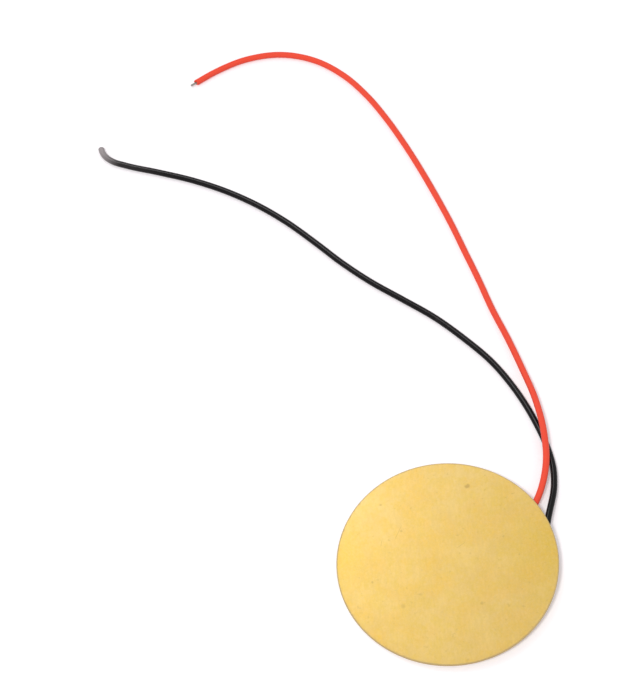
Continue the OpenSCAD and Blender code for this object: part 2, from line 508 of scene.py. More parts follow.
    @staticmethod
    def scratch(coat: Coat, place: Socket, line: Scratch) -> Socket:
        """Lays out one scratch.

        Args:
            coat: The brass.
            place: The place on the disc.
            line: The scratch.

        Returns:
            How strongly it shows, from 0 to 1.
        """
        turn = (0.0, 0.0, math.radians(line.angle))
        axes = coat.parts(coat.measured(place, (line.x, line.y, 0.0), turn))
        along = coat.ranged(coat.math("ABSOLUTE", axes["X"]), line.length / 2, line.length / 4, 0.0, 0.6)
        across = coat.ranged(coat.math("ABSOLUTE", axes["Y"]), line.width, line.width / 3)
        return coat.math("MULTIPLY", along, across)


@dataclass(frozen=True)
class FiredSilver:
    """Screen-printed silver, fired matt, with a ragged flux stain round the joint."""

    print_tone: Tone = Tone(214, 211, 203)
    dull: Tone = Tone(190, 184, 170)
    flux: Tone = Tone(176, 138, 82)
    stain_r: float = 2.6
    stain_rag: float = 0.6
    stain_most: float = 0.6
    stain_smooth: float = 0.3

    def build(self, pose: Matrix, joint: tuple[float, float]) -> Finish:
        """Makes the silver.

        Args:
            pose: The disc's pose in metres.
            joint: Middle of the flux stain in millimetres.

        Returns:
            The material.
        """
        coat = Coat("fired_silver", Metallic=0.85)
        place = coat.place_mm(pose)
        mesh = coat.cells(place, 0.11)
        cloud = coat.noise(place, size=2.2, seed=11.0, detail=3.0)
        speck = coat.noise(place, size=0.3, seed=12.0)
        colour = coat.laid(self.dull, self.print_tone, cloud, 0.3, 0.7)
        colour = coat.laid(colour, self.dull, speck, 0.62, 0.75, 0.5)
        ragged = coat.ranged(cloud, 0.2, 0.8, -self.stain_rag, self.stain_rag)
        edge = coat.math("ADD", coat.away(place, *joint), ragged)
        stain = coat.ranged(edge, self.stain_r, self.stain_r * 0.75)
        colour = coat.mixed(coat.math("MULTIPLY", stain, self.stain_most), colour, self.flux)
        matt = coat.ranged(mesh, 0.0, 0.8, 0.5, 0.62)
        roughness = coat.math("SUBTRACT", matt, coat.math("MULTIPLY", stain, self.stain_smooth))
        relief = coat.bump(coat.math("MULTIPLY", mesh, coat.math("SUBTRACT", 1.0, stain)), 0.006)
        return coat.done(colour, roughness, coat.bump(speck, 0.004, relief))


@dataclass(frozen=True)
class BareCeramic:
    """Sintered ceramic, matt and slightly grainy, with a few dark grains."""

    body: Tone = Tone(214, 203, 168)
    grain: Tone = Tone(184, 171, 132)

    def build(self, pose: Matrix) -> Finish:
        """Makes the ceramic.

        Args:
            pose: The disc's pose in metres.

        Returns:
            The material.
        """
        coat = Coat("bare_ceramic", IOR=1.6)
        place = coat.place_mm(pose)
        fine = coat.noise(place, size=0.08, seed=21.0, detail=3.0, rough=0.7)
        cloud = coat.noise(place, size=1.4, seed=22.0)
        colour = coat.laid(self.body, self.grain, cloud, 0.3, 0.7, 0.35)
        colour = coat.laid(colour, self.grain, fine, 0.55, 0.75, 0.6)
        return coat.done(colour, coat.ranged(fine, 0.3, 0.7, 0.6, 0.75), coat.bump(fine, 0.008))


@dataclass(frozen=True)
class CuredEpoxy:
    """Thin amber adhesive, glossy where it was squeezed out."""

    body: Tone = Tone(186, 148, 84)
    dark: Tone = Tone(140, 102, 54)

    def build(self, pose: Matrix) -> Finish:
        """Makes the adhesive.

        Args:
            pose: The disc's pose in metres.

        Returns:
            The material.
        """
        coat = Coat("cured_epoxy", IOR=1.55)
        place = coat.place_mm(pose)
        cloud = coat.noise(place, size=0.7, seed=31.0, detail=3.0)
        dust = coat.noise(place, size=0.12, seed=32.0)
        colour = coat.laid(self.body, self.dark, cloud, 0.3, 0.7)
        return coat.done(colour, coat.ranged(dust, 0.4, 0.7, 0.16, 0.34), coat.bump(cloud, 0.01))


@dataclass(frozen=True)
class BrightSolder:
    """Shiny solder with frosted patches."""

    bright: Tone = Tone(212, 213, 214)
    frosted: Tone = Tone(172, 174, 176)

    def build(self) -> Finish:
        """Makes the solder.

        Returns:
            The material.
        """
        coat = Coat("bright_solder", Metallic=1.0)
        place = coat.place_mm()
        cloud = coat.noise(place, size=0.7, seed=41.0, detail=3.0)
        frost = coat.noise(place, size=0.09, seed=42.0, detail=3.0, rough=0.7)
        dull = coat.ranged(cloud, 0.42, 0.6)
        colour = coat.mixed(dull, self.bright, self.frosted)
        smooth = coat.ranged(dull, 0.0, 1.0, 0.14, 0.3)
        roughness = coat.math("ADD", smooth, coat.ranged(frost, 0.4, 0.7, 0.0, 0.1))
        relief = coat.bump(coat.math("MULTIPLY", frost, dull), 0.008, coat.bump(cloud, 0.03))
        return coat.done(colour, roughness, relief)


@dataclass(frozen=True)
class TinnedCopper:
    """Dull tin on copper, which shows through in small patches."""

    tin: Tone = Tone(158, 156, 150)
    copper: Tone = Tone(176, 124, 98)

    def build(self) -> Finish:
        """Makes the tinned copper.

        Returns:
            The material.
        """
        coat = Coat("tinned_copper", Metallic=1.0)
        place = coat.place_mm()
        cloud = coat.noise(place, size=0.22, seed=51.0, detail=3.0)
        fine = coat.noise(place, size=0.04, seed=52.0)
        colour = coat.laid(self.tin, self.copper, cloud, 0.6, 0.72, 0.6)
        return coat.done(colour, coat.ranged(fine, 0.3, 0.7, 0.28, 0.42), coat.bump(fine, 0.003))


@dataclass(frozen=True)
class Vinyl:
    """Extruded PVC insulation with faint streaks along it, scuffs and a satin surface.

    Between two lengths along the lead it may be painted paler in the scuffs' tone, which is painted sheen,
    and this paint fades in faintly over the run before them.
    """

    name: str
    body: Tone
    streak: Tone
    scuff_and_sheen: Tone
    roughness: float
    gloss: float
    painted_sheen_from: float = 0.0
    painted_sheen_to: float = 0.0
    painted_sheen_most: float = 0.95
    painted_sheen_rough: float = 0.2
    faint_sheen_most: float = 0.045
    faint_sheen_before: float = 7.0
    faint_sheen_past: float = 0.5
    scuffed: float = 0.06

    def build(self) -> Finish:
        """Makes the insulation.

        Returns:
            The material.
        """
        coat = Coat(self.name, IOR=1.53, Specular_IOR_Level=self.gloss)
        run = coat.run_mm()
        drawn = coat.noise(coat.stretched(run, (0.06, 1.0, 1.0)), size=0.16, seed=61.0)
        cloud = coat.noise(run, size=1.6, seed=62.0)
        fine = coat.noise(run, size=0.07, seed=63.0)
        colour = coat.laid(self.body, self.streak, drawn, 0.3, 0.7, 0.35)
        colour = coat.laid(colour, self.scuff_and_sheen, cloud, 0.6, 0.8, self.scuffed)
        roughness = coat.ranged(fine, 0.3, 0.7, self.roughness - 0.04, self.roughness + 0.06)
        # Painted sheen: the lead's end is painted paler in the scuffs' tone, as if it caught the light, and
        # it is rougher there.
        if self.painted_sheen_to > self.painted_sheen_from:
            along = coat.parts(run)["X"]
            painted_light = coat.ranged(along, self.painted_sheen_from, self.painted_sheen_to, 0.0, self.painted_sheen_most)
            faint_sheen_run = (self.painted_sheen_from - self.faint_sheen_before, self.painted_sheen_from + self.faint_sheen_past)
            faint_sheen = coat.ranged(along, *faint_sheen_run, 0.0, self.faint_sheen_most)
            painted_light = coat.math("MAXIMUM", painted_light, faint_sheen)
            colour = coat.mixed(painted_light, colour, self.scuff_and_sheen)
            roughness = coat.math("ADD", roughness, coat.math("MULTIPLY", painted_light, self.painted_sheen_rough))
        return coat.done(colour, roughness, coat.bump(fine, 0.002, coat.bump(drawn, 0.006)))


# Studio


@dataclass(frozen=True)
class Softbox:
    """A square soft lamp, in millimetres, aimed at the disc's middle.

    A lamp without glints leaves no highlight in metal or gloss, as behind a crossed polarizing filter.
    """

    name: str
    x: float
    y: float
    z: float
    side: float
    watts: float
    glints: bool = True

    def build(self) -> bpy.types.Object:
        """Hangs the lamp.

        Returns:
            The lamp's object.
        """
        lamp = bpy.data.lights.new(self.name, "AREA")
        lamp.shape = "SQUARE"
        lamp.size = self.side * MM
        lamp.energy = self.watts
        hung = bpy.data.objects.new(self.name, lamp)
        hung.location = Vector((self.x, self.y, self.z)) * MM
        hung.rotation_euler = (-hung.location).to_track_quat("-Z", "Y").to_euler()
        hung.visible_glossy = self.glints
        bpy.context.scene.collection.objects.link(hung)
        return hung


@dataclass
class Studio:
    """The camera, the pale table and the soft light, with lengths in millimetres and angles in degrees.

    The table takes its far glow from the first to the second distance in far_from.
    """

    aim: Triple = (-15.1, 31.55, 0.0)
    distance: float = 260.88
    elevation: float = 57.53
    roll: float = -1.23
    focal: float = 102.857
    sensor: float = 36.0
    clip_m: tuple[float, float] = (0.01, 10.0)
    table_side: float = 3000.0
    table_tone: Tone = Tone(241, 240, 241)
    table_cloud: Tone = Tone(238, 237, 239)
    table_glow: Tone = Tone(136, 131, 133)
    far_glow: Tone = Tone(206, 204, 205)
    far_from: tuple[float, float] = (180.0, 800.0)
    ambient: float = 0.56
    ambient_tint: Tone = Tone(255, 253, 254)
    softboxes: tuple[Softbox, ...] = (
        Softbox("key", -165.0, -235.0, 530.0, 100.0, 1.6, glints=False),
        Softbox("fill_back", 330.0, 560.0, 370.0, 200.0, 0.2),
        Softbox("fill_left", -330.0, 300.0, 480.0, 360.0, 0.06),
        Softbox("sheen_panel", -75.0, 140.0, 240.0, 90.0, 0.057),
    )
    lead_strip: Softbox = Softbox("lead_strip", -206.0, 246.0, 469.0, 300.0, 1.7)

    def build(self) -> None:
        """Sets up the whole studio."""
        self.camera()
        self.table()
        self.world()
        for softbox in self.softboxes:
            softbox.build()
        bpy.context.scene.view_settings.view_transform = "Standard"
        LOG.info("studio: camera, table and %d softboxes", len(self.softboxes))

    def glint_on(self, lead: Piece) -> None:
        """Hangs the lamp that gives one glossy lead its highlight, and lights nothing else.

        Args:
            lead: Piece that takes the highlight.
        """
        strip = self.lead_strip.build()
        strip.visible_diffuse = False
        takers = bpy.data.collections.new("takes_lead_strip")
        takers.objects.link(lead)
        strip.light_linking.receiver_collection = takers

    def camera(self) -> None:
        """Places the camera by its aim, distance, elevation above the table and roll."""
        elevation, roll = math.radians(self.elevation), math.radians(self.roll)
        ahead = Vector((0.0, math.cos(elevation), -math.sin(elevation)))
        level = Vector((1.0, 0.0, 0.0))
        upright = level.cross(ahead)
        right = math.cos(roll) * level + math.sin(roll) * upright
        up = math.cos(roll) * upright - math.sin(roll) * level
        lens = bpy.data.cameras.new("camera")
        lens.lens = self.focal
        lens.sensor_width = self.sensor
        lens.clip_start, lens.clip_end = self.clip_m
        camera = bpy.data.objects.new("camera", lens)
        pose = Matrix((right, up, -ahead)).transposed().to_4x4()
        pose.translation = (Vector(self.aim) - self.distance * ahead) * MM
        camera.matrix_world = pose
        bpy.context.scene.collection.objects.link(camera)
        bpy.context.scene.camera = camera

    def table(self) -> None:
        """Lays the table top, which takes soft shadows and is white in full light."""
        half = self.table_side / 2 * MM
        corners = [(x * half, y * half, 0.0) for x, y in ((-1, -1), (1, -1), (1, 1), (-1, 1))]
        mesh = bpy.data.meshes.new("table_top")
        mesh.from_pydata(corners, [], [(0, 1, 2, 3)])
        top = bpy.data.objects.new("table_top", mesh)
        bpy.context.scene.collection.objects.link(top)
        coat = Coat("pale_table")
        place = coat.place_mm()
        cloud = coat.noise(place, size=60.0, seed=71.0)
        matt = {"Color": coat.laid(self.table_tone, self.table_cloud, cloud, 0.3, 0.7)}
        off = coat.away(place, 0.0, 0.0)
        glow = {
            "Color": coat.laid(self.table_glow, self.far_glow, off, *self.far_from),
            "Strength": coat.looked_at(),
        }
        both = [coat.node("ShaderNodeBsdfDiffuse", matt)[0], coat.node("ShaderNodeEmission", glow)[0]]
        surface = coat.node("ShaderNodeAddShader", dict(enumerate(both)))[0]
        coat.feed(coat.nodes["Material Output"].inputs["Surface"], surface)
        coat.nodes.remove(coat.shader)
        mesh.materials.append(coat.material)

    def world(self) -> None:
        """Gives soft light from all round, and a white backdrop to what looks at it."""
        world = bpy.data.worlds.new("soft_room")
        bpy.context.scene.world = world
        world.use_nodes = True
        room = Graph(world.node_tree)
        soft = room.nodes["Background"]
        room.feed(soft.inputs["Color"], self.ambient_tint)
        room.feed(soft.inputs["Strength"], self.ambient)
        white = room.node("ShaderNodeBackground", {"Color": (1.0, 1.0, 1.0, 1.0), "Strength": 1.0})[0]
        shades = {0: room.looked_at(), 1: soft.outputs[0], 2: white}
        either = room.node("ShaderNodeMixShader", shades)[0]
        room.feed(room.nodes["World Output"].inputs["Surface"], either)


# The disc


@dataclass(frozen=True)
class DiscPose:
    """Where the disc lies: from the middle of the plate's underside into the frame."""

    matrix: Matrix

    @classmethod
    def from_record(cls, record: dict, plate_t: float) -> "DiscPose":
        """Reads the pose from the rim's mount.

        Args:
            record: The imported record.
            plate_t: Thickness of the plate in millimetres.

        Returns:
            The pose.
        """
        rim = next(mount for mount in record["mounts"] if mount["name"] == "rim")
        turn = Vector((0.0, 0.0, 1.0)).rotation_difference(Vector(rim["axis"])).to_matrix().to_4x4()
        lift = Matrix.Translation((0.0, 0.0, -plate_t / 2 * MM))
        return cls(Matrix.Translation(rim["pos_m"]) @ turn @ lift)

    def points(self, local: np.ndarray) -> np.ndarray:
        """Points in millimetres on the disc, put into the frame, in millimetres."""
        turn = np.array(self.matrix.to_3x3())
        return local @ turn.T + np.array(self.matrix.translation) / MM

    def direction(self, heading: float) -> np.ndarray:
        """The direction in the frame of a heading on the disc, in degrees."""
        turn = np.array(self.matrix.to_3x3())
        return turn @ np.array([math.cos(math.radians(heading)), math.sin(math.radians(heading)), 0.0])


@dataclass
class PlatedDisc:
    """The brass plate with its ceramic, both electrodes and the bond between them, in millimetres.

    The plate's faces have rings at flat_rings. The inner electrode ends print_back within the ceramic, and
    the outer one gets thinner over the two widths in print_run. The ceramic's edges are broken by about
    chip_r, and the bond laps its side by lap. A last ring on each flat face lies ring_back from its edge.
    """

    pose: DiscPose
    plate_r: float = 13.5
    plate_t: float = 0.3
    edge_r: float = 0.06
    ceramic_r: float = 10.0
    ceramic_t: float = 0.2
    electrode_r: float = 9.1
    electrode_t: float = 0.015
    bond_t: float = 0.02
    fillet_w: float = 0.15
    fillet_h: float = 0.08
    flat_rings: tuple[float, ...] = (3.0, 6.0, 9.0, 12.0, 13.2, 13.41)
    print_back: float = 0.01
    print_run: tuple[float, float] = (0.01, 0.05)
    chip_r: float = 0.012
    lap: float = 0.02
    ring_back: float = 0.5
    signal_inset: float = 1.9
    sink: float = 0.002
    segments: int = 240

    @property
    def ceramic_z(self) -> float:
        """Height of the ceramic's inner face."""
        return -self.bond_t - self.electrode_t

    @property
    def print_z(self) -> float:
        """Height of the ceramic's outer face, on which the outer electrode is printed."""
        return self.ceramic_z - self.ceramic_t

    @property
    def signal_face_z(self) -> float:
        """Height of the outer electrode's face."""
        return self.print_z - self.electrode_t

    def turned(
        self, name: str, profile: list[tuple[object, object]], sharp: float = 40.0
    ) -> Piece:
        """Turns a profile round the disc's axis.

        Args:
            name: Name of the piece.
            profile: Radius and height of each ring, each a number or one value for each segment. The
                first and last are on the axis.
            sharp: Edges that turn by more than this angle in degrees are drawn sharp.

        Returns:
            The piece.
        """
        angle = self.around()
        rings = []
        for radius, height in profile[1:-1]:
            level = height + 0.0 * angle
            rings.append(np.stack([radius * np.cos(angle), radius * np.sin(angle), level], axis=1))
        poles = self.pose.points(np.array([[0.0, 0.0, profile[0][1]], [0.0, 0.0, profile[-1][1]]]))
        placed = self.pose.points(np.array(rings).reshape(-1, 3)).reshape(len(rings), self.segments, 3)
        return ring_piece(name, placed, poles[0], poles[1], sharp)

    def around(self) -> np.ndarray:
        """The angle of each segment."""
        return np.linspace(0.0, 2 * math.pi, self.segments, endpoint=False)

    def plate(self) -> Piece:
        """Makes the stamped plate, with rolled edges.

        Returns:
            The piece.
        """
        roll = [math.radians(a) for a in range(0, 91, 15)]
        inner = self.plate_r - self.edge_r
        profile = [(0.0, 0.0)] + [(r, 0.0) for r in self.flat_rings]
        profile += [(inner + self.edge_r * math.sin(a), self.edge_r * (1 - math.cos(a))) for a in roll]
        top = self.plate_t - self.edge_r
        profile += [(inner + self.edge_r * math.cos(a), top + self.edge_r * math.sin(a)) for a in roll]
        profile += [(r, self.plate_t) for r in reversed(self.flat_rings)] + [(0.0, self.plate_t)]
        return self.turned("plate_stamping", profile)

    def bond(self) -> Piece:
        """Makes the adhesive film, with what was squeezed out round the ceramic.

        Returns:
            The piece.
        """
        angle = self.around()
        uneven = 1.0 + wobble(angle, ((2, 0.12, 0.4), (5, 0.14, 1.9), (11, 0.1, 0.7), (23, 0.06, 2.6)))
        foot = self.bond_t + self.fillet_h * (0.8 + 0.2 * uneven)
        wide = self.fillet_w * np.clip(uneven, 0.6, 1.0)
        profile = [
            (0.0, self.sink),
            (self.ceramic_r + wide, self.sink),
            (self.ceramic_r + wide, -2 * self.sink),
            (self.ceramic_r + 0.55 * wide, -0.25 * foot),
            (self.ceramic_r + 0.25 * wide, -0.6 * foot),
            (self.ceramic_r + 0.05 * wide, -foot),
            (self.ceramic_r - self.lap, -foot),
            (self.ceramic_r - self.lap, -self.bond_t),
            (0.0, -self.bond_t),
        ]
        return self.turned("bond_film", profile, 60.0)

    def inner_print(self) -> Piece:
        """Makes the silver between the bond and the ceramic.

        Returns:
            The piece.
        """
        edge = self.ceramic_r - self.print_back
        profile = [(0.0, -self.bond_t), (edge, -self.bond_t), (edge, self.ceramic_z), (0.0, self.ceramic_z)]
        return self.turned("inner_print", profile)

    def wafer(self) -> Piece:
        """Makes the ceramic, with slightly uneven broken edges.

        Returns:
            The piece.
        """
        angle = self.around()
        chip = self.chip_r + np.abs(wobble(angle, ((17, 0.006, 0.2), (41, 0.005, 1.1), (67, 0.004, 2.0))))
        side = self.ceramic_r + wobble(angle, ((3, 0.004, 0.5), (31, 0.002, 1.7)))
        profile = [
            (0.0, self.ceramic_z),
            (side - self.ring_back, self.ceramic_z),
            (side - chip, self.ceramic_z),
            (side, self.ceramic_z - chip),
            (side, self.print_z + chip),
            (side - chip, self.print_z),
            (side - self.ring_back, self.print_z),
            (0.0, self.print_z),
        ]
        return self.turned("ceramic_wafer", profile, 30.0)

    def outer_print(self) -> Piece:
        """Makes the printed outer electrode, whose edge is a little wavy and thins out.

        Returns:
            The piece.
        """
        angle = self.around()
        waves = ((4, 0.012, 0.3), (13, 0.01, 1.4), (37, 0.008, 2.2), (59, 0.006, 0.9))
        edge = self.electrode_r + wobble(angle, waves)
        profile = [
            (0.0, self.print_z + self.sink),
            (edge, self.print_z + self.sink),
            (edge - self.print_run[0], self.print_z - 0.4 * self.electrode_t),
            (edge - self.print_run[1], self.signal_face_z),
            (edge - self.ring_back, self.signal_face_z),
            (0.0, self.signal_face_z),
        ]
        return self.turned("outer_print", profile, 60.0)

    def build(self, brass: Finish, silver: Finish) -> None:
        """Makes and dresses the whole stack.

        Args:
            brass: Finish of the plate.
            silver: Finish of both electrodes.
        """
        hand_over(self.plate(), brass, "brass", "brass_plate")
        hand_over(self.bond(), CuredEpoxy().build(self.pose.matrix), "adhesive", "bond_layer")
        hand_over(self.inner_print(), silver, "silver", "inner_electrode")
        hand_over(self.wafer(), BareCeramic().build(self.pose.matrix), "ceramic", "ceramic_disc")
        hand_over(self.outer_print(), silver, "silver", "outer_electrode")


# Conductors and joints


@dataclass
class TwistedStrands:
    """Seven tinned strands, six of them laid round the middle one, with lengths in millimetres.

    At the red lead's far end they are a stub, which starts stub_in inside the insulation and stands out of
    it by stub_out. Its end is held together by a lumpy blob of tin, blob_out from the insulation.
    """

    strand_d: float = 0.1
    pitch_r: float = 0.096
    lay: float = 4.2
    outer: int = 6
    sides: int = 14
    steps: int = 120
    stub_in: float = 0.8
    stub_out: float = 0.75
    blob_out: float = 0.62
    blob_r: float = 0.16
    blob_half: float = 0.17
    blob_lump: float = 0.01
    tree: bpy.types.NodeTree = field(init=False)
    sockets: dict[str, str] = field(init=False, default_factory=dict)

    def __post_init__(self) -> None:
        """Builds the node tree that every run of strands uses."""
        self.tree = bpy.data.node_groups.new("twisted_strands", "GeometryNodeTree")
        face = self.tree.interface
        for way in ("INPUT", "OUTPUT"):
            face.new_socket("Geometry", in_out=way, socket_type="NodeSocketGeometry")
        kinds = {
            "Strand Radius": "NodeSocketFloat",
            "Pitch Radius": "NodeSocketFloat",
            "Turns": "NodeSocketFloat",
            "Length": "NodeSocketFloat",
            "Outer Strands": "NodeSocketInt",
            "Finish": "NodeSocketMaterial",
        }
        for name, kind in kinds.items():
            self.sockets[name] = face.new_socket(name, in_out="INPUT", socket_type=kind).identifier
        self.wire()

    def wire(self) -> None:
        """Lays the nodes: one strand swept along a helix, repeated round a straight one."""
        graph = Graph(self.tree)
        given = graph.node("NodeGroupInput")
        round_strand = {"Resolution": self.sides, "Radius": given["Strand Radius"]}
        profile = graph.node("GeometryNodeCurvePrimitiveCircle", round_strand)[0]
        coil = {
            "Resolution": self.steps,
            "Rotations": given["Turns"],
            "Start Radius": given["Pitch Radius"],
            "End Radius": given["Pitch Radius"],
            "Height": given["Length"],
        }
        helix = graph.node("GeometryNodeCurveSpiral", coil)[0]
        end = graph.node("ShaderNodeCombineXYZ", {"Z": given["Length"]})[0]
        core = graph.node("GeometryNodeCurvePrimitiveLine", {"End": end})[0]
        swept = []
        for line in (helix, core):
            sweep = {"Curve": line, "Profile Curve": profile, "Fill Caps": True}
            swept.append(graph.node("GeometryNodeCurveToMesh", sweep)[0])
        spots = graph.node("GeometryNodePoints", {"Count": given["Outer Strands"]})[0]
        step = graph.math("DIVIDE", 2 * math.pi, given["Outer Strands"])
        angle = graph.math("MULTIPLY", graph.node("GeometryNodeInputIndex")[0], step)
        turn = graph.node("ShaderNodeCombineXYZ", {"Z": angle})[0]
        turned = graph.node("FunctionNodeEulerToRotation", {0: turn})[0]
        copies = {"Points": spots, "Instance": swept[0], "Rotation": turned}
        laid = graph.node("GeometryNodeInstanceOnPoints", copies)[0]
        joined = graph.node("GeometryNodeJoinGeometry", {0: [laid, swept[1]]})[0]
        real = graph.node("GeometryNodeRealizeInstances", {0: joined})[0]
        finish = {"Geometry": real, "Material": given["Finish"]}
        dressed = graph.node("GeometryNodeSetMaterial", finish)[0]
        graph.node("NodeGroupOutput", {0: dressed})

    def run(
        self, name: str, start: np.ndarray, way: np.ndarray, length: float, finish: Finish
    ) -> Piece:
        """Makes a straight run of strands.

        Args:
            name: Name of the piece.
            start: Where its axis starts, in millimetres.
            way: Its direction.
            length: Its length in millimetres.
            finish: Its material.

        Returns:
            The piece, as a plain mesh in metres at the origin.
        """
        holder = bpy.data.objects.new("strand_holder", bpy.data.meshes.new("strand_holder"))
        bpy.context.scene.collection.objects.link(holder)
        maker = holder.modifiers.new("strands", "NODES")
        maker.node_group = self.tree
        values = {
            "Strand Radius": self.strand_d / 2 * MM,
            "Pitch Radius": self.pitch_r * MM,
            "Turns": length / self.lay,
            "Length": length * MM,
            "Outer Strands": self.outer,
            "Finish": finish,
        }
        for socket, value in values.items():
            maker[self.sockets[socket]] = value
        shaped = holder.evaluated_get(bpy.context.evaluated_depsgraph_get())
        mesh = bpy.data.meshes.new_from_object(shaped)
        bpy.data.objects.remove(holder)
        turn = Vector((0.0, 0.0, 1.0)).rotation_difference(Vector(way)).to_matrix().to_4x4()
        mesh.transform(Matrix.Translation(Vector(start) * MM) @ turn)
        return finished(name, mesh, 50.0)

    def stub(self, end: np.ndarray, way: np.ndarray, finish: Finish) -> list[Piece]:
        """Makes and dresses the bare conductor at the red lead's far end.

        Args:
            end: The middle of the lead's far end, in millimetres.
            way: The direction in which the lead ends.
            finish: Material of the strands.

        Returns:
            The strands and the drop of tin on them.
        """
        start = end - self.stub_in * way
        strands = self.run("red_tip_strands", start, way, self.stub_in + self.stub_out, finish)
        hand_over(strands, finish, "tinned_copper", "red_conductor_tip")
        blob = self.blob("red_tip_blob", end + self.blob_out * way, way)
        hand_over(blob, finish, "tinned_copper")
        return [strands, blob]

    def blob(self, name: str, middle: np.ndarray, way: np.ndarray) -> Piece:
        """Makes the drop of tin that holds the strands' ends together.

        Args:
            name: Name of the piece.
            middle: Its middle, in millimetres.
            way: The strands' direction.

        Returns:
            The piece.
        """
        across = unit(np.cross([0.0, 0.0, 1.0], way))
        above = np.cross(way, across)
        turn = np.linspace(0.0, 2 * math.pi, 28, endpoint=False)[:, None]
        rings = []
        for tip in np.radians(np.arange(12, 180, 12)):
            wide = math.sin(tip) * (self.blob_r + self.blob_lump * np.sin(2 * turn + 3 * tip))
            ring = wide * (np.cos(turn) * across + np.sin(turn) * above)
            rings.append(middle - self.blob_half * math.cos(tip) * way + ring)
        poles = [middle + side * self.blob_half * way for side in (-1, 1)]
        return ring_piece(name, np.array(rings), *poles, 80.0)


@dataclass
class SolderJoint:
    """A cap of solder on a face of the disc, with its lead's bared conductor along +X.

    The radius and angle give its place on the disc, and heights are counted away from the face. The drop
    is the height of the conductor. Round the cap lies a thin skirt, skirt_w wide and skirt_t high, and a
    neck runs out along the conductor, from root_share of the drop in radius down to neck_tip_r. They run
    together over skirt_run and neck_run where they meet. The skirt's edge is uneven by skirt_waves, a share
    of its width, and the whole surface by ripple. The rings are laid out from a heart inside the cap.
    """

    name: str
    pose: DiscPose
    radius: float
    angle: float
    face_z: float
    heading: float
    base_r: float
    height: float
    drop: float
    skirt_w: float = 0.15
    skirt_t: float = 0.1
    bare_l: float = 0.4
    embed_share: float = 0.5
    neck_share: float = 0.6
    root_share: float = 0.9
    neck_tip_r: float = 0.125
    bore_l: float = 0.7
    skirt_waves: float = 0.25
    skirt_run: float = 0.12
    neck_run: float = 0.22
    ripple: float = 0.035
    heart_x: float = 0.12
    heart_share: float = 0.36
    sink: float = 0.003
    outside: float = 3.0
    halvings: int = 40
    around: int = 112
    levels: int = 44

    @property
    def middle(self) -> tuple[float, float]:
        """The joint's middle on the disc, in millimetres."""
        turn = math.radians(self.angle)
        return (self.radius * math.cos(turn), self.radius * math.sin(turn))

    @property
    def reach(self) -> float:
        """Distance from the joint's middle to the insulation's face."""
        return self.base_r + self.skirt_w + self.bare_l

    def placed(self, local: np.ndarray) -> np.ndarray:
        """Puts points round the joint into the frame.

        Args:
            local: Points in millimetres, with height counted away from the face.

        Returns:
            The points in the frame, in millimetres.
        """
        turn = math.radians(self.heading)
        x = self.middle[0] + local[..., 0] * math.cos(turn) - local[..., 1] * math.sin(turn)
        y = self.middle[1] + local[..., 0] * math.sin(turn) + local[..., 1] * math.cos(turn)
        return self.pose.points(np.stack([x, y, self.face_z - local[..., 2]], axis=-1))

    def lead_start(self) -> np.ndarray:
        """Centre of the insulation's face, in the frame."""
        return self.placed(np.array([self.reach, 0.0, self.drop]))

    def lead_way(self) -> np.ndarray:
        """Direction in which the lead leaves."""
        return self.pose.direction(self.heading)

    def depth(self, p: np.ndarray) -> np.ndarray:
        """Signed distance to the solder's surface, about in millimetres, less than 0 inside.

        Args:
            p: Points round the joint, with height counted away from the face.

        Returns:
            One distance for each point.
        """
        x, y, z = p[..., 0], p[..., 1], p[..., 2]
        cap_r = (self.base_r**2 + self.height**2) / (2 * self.height)
        cap = np.sqrt(x**2 + y**2 + (z - self.height + cap_r) ** 2) - cap_r
        waves = self.skirt_waves * np.sin(3 * np.arctan2(y, x) + self.angle)
        wet = self.base_r + self.skirt_w * (1 - self.skirt_waves + waves)
        skirt = (np.sqrt((x**2 + y**2) / wet**2 + (z / self.skirt_t) ** 2) - 1.0) * self.skirt_t
        neck_l = self.base_r + self.skirt_w + self.neck_share * self.bare_l
        share = np.clip(x / neck_l, 0.0, 1.0)
        thick = self.root_share * self.drop * (1 - share) + self.neck_tip_r * share
        off = np.sqrt((x - share * neck_l) ** 2 + y**2 + (z - self.drop) ** 2)
        shape = self.melted(self.melted(cap, skirt, self.skirt_run), off - thick, self.neck_run)
        uneven = np.sin(2.3 * x + self.angle) * np.sin(2.9 * y + 1.3) * np.sin(2.1 * z + 0.4)
        return shape + self.ripple * uneven

    @staticmethod
    def melted(first: np.ndarray, second: np.ndarray, run: float) -> np.ndarray:
        """Two shapes run together, with a soft hollow of this size where they meet."""
        share = np.clip(0.5 + 0.5 * (second - first) / run, 0.0, 1.0)
        return second * (1 - share) + first * share - run * share * (1 - share)

    def outermost(self, start: np.ndarray, way: np.ndarray) -> np.ndarray:
        """How far each ray runs inside the solder.

        Args:
            start: Where the rays start.
            way: One direction for each ray.

        Returns:
            The length of each ray up to the surface.
        """
        near, away = np.zeros(way.shape[:-1]), np.full(way.shape[:-1], self.outside)
        for _ in range(self.halvings):
            half = (near + away) / 2
            inside = self.depth(start + half[..., None] * way) < 0
            near = np.where(inside, half, near)
            away = np.where(inside, away, half)
        return near

    def cap(self) -> Piece:
        """Makes the solder itself.

        Returns:
            The piece.
        """
        angle = np.linspace(0.0, 2 * math.pi, self.around, endpoint=False)
        flat = np.stack([np.cos(angle), np.sin(angle), 0 * angle], axis=1)
        centre = np.array([self.heart_x, 0.0, self.heart_share * self.height])
        toe = self.outermost(centre * [1, 1, 0], flat)
        last = math.pi - np.arctan2(toe, centre[2])
        rings = []
        for level in range(1, self.levels + 1):
            tip = last * level / self.levels
            way = np.stack([np.sin(tip) * np.cos(angle), np.sin(tip) * np.sin(angle), np.cos(tip)], axis=1)
            rings.append(centre + self.outermost(centre, way)[:, None] * way)
        rings[-1][:, 2] = -self.sink
        upright = np.array([[0.0, 0.0, 1.0]])
        top = centre + self.outermost(centre, upright)[0] * upright[0]
        return ring_piece(
            f"{self.name}_joint",
            self.placed(np.array(rings)),
            self.placed(top),
            self.placed(centre * [1, 1, 0] - [0, 0, self.sink]),
            70.0,
        )

